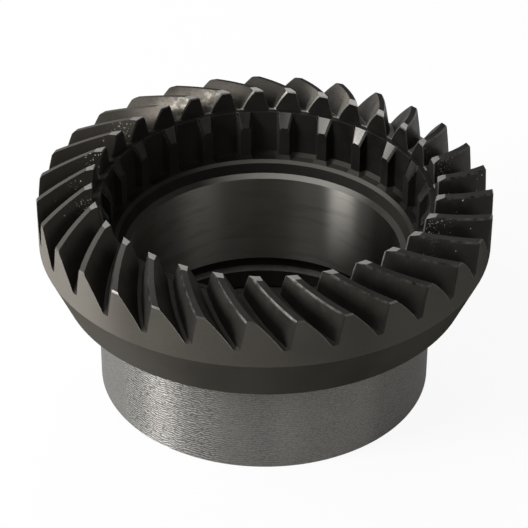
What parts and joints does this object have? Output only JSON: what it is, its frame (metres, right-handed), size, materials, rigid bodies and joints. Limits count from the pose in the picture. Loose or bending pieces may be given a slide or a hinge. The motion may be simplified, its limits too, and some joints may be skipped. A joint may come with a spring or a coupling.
{
  "type": "spiral bevel gear",
  "caption": "Spiral bevel gear with arc-shaped teeth on a conical face, a splined socket above a plain bore, and a tubular hub below.",
  "frame": {"origin": "on the gear's axis, at the hub's lower end face, which it stands on", "axes": "+Z along the gear's axis, from the hub towards the toothed face; +X and +Y are arbitrary directions square to it"},
  "size_m": [0.12, 0.12, 0.0611],
  "materials": {
    "dark_steel": "dark phosphated steel, satin, finely turned on the hub, back and bore"
  },
  "bodies": {
    "root": {"spiral_bevel_gear": "dark_steel"}
  },
  "joints": []
}
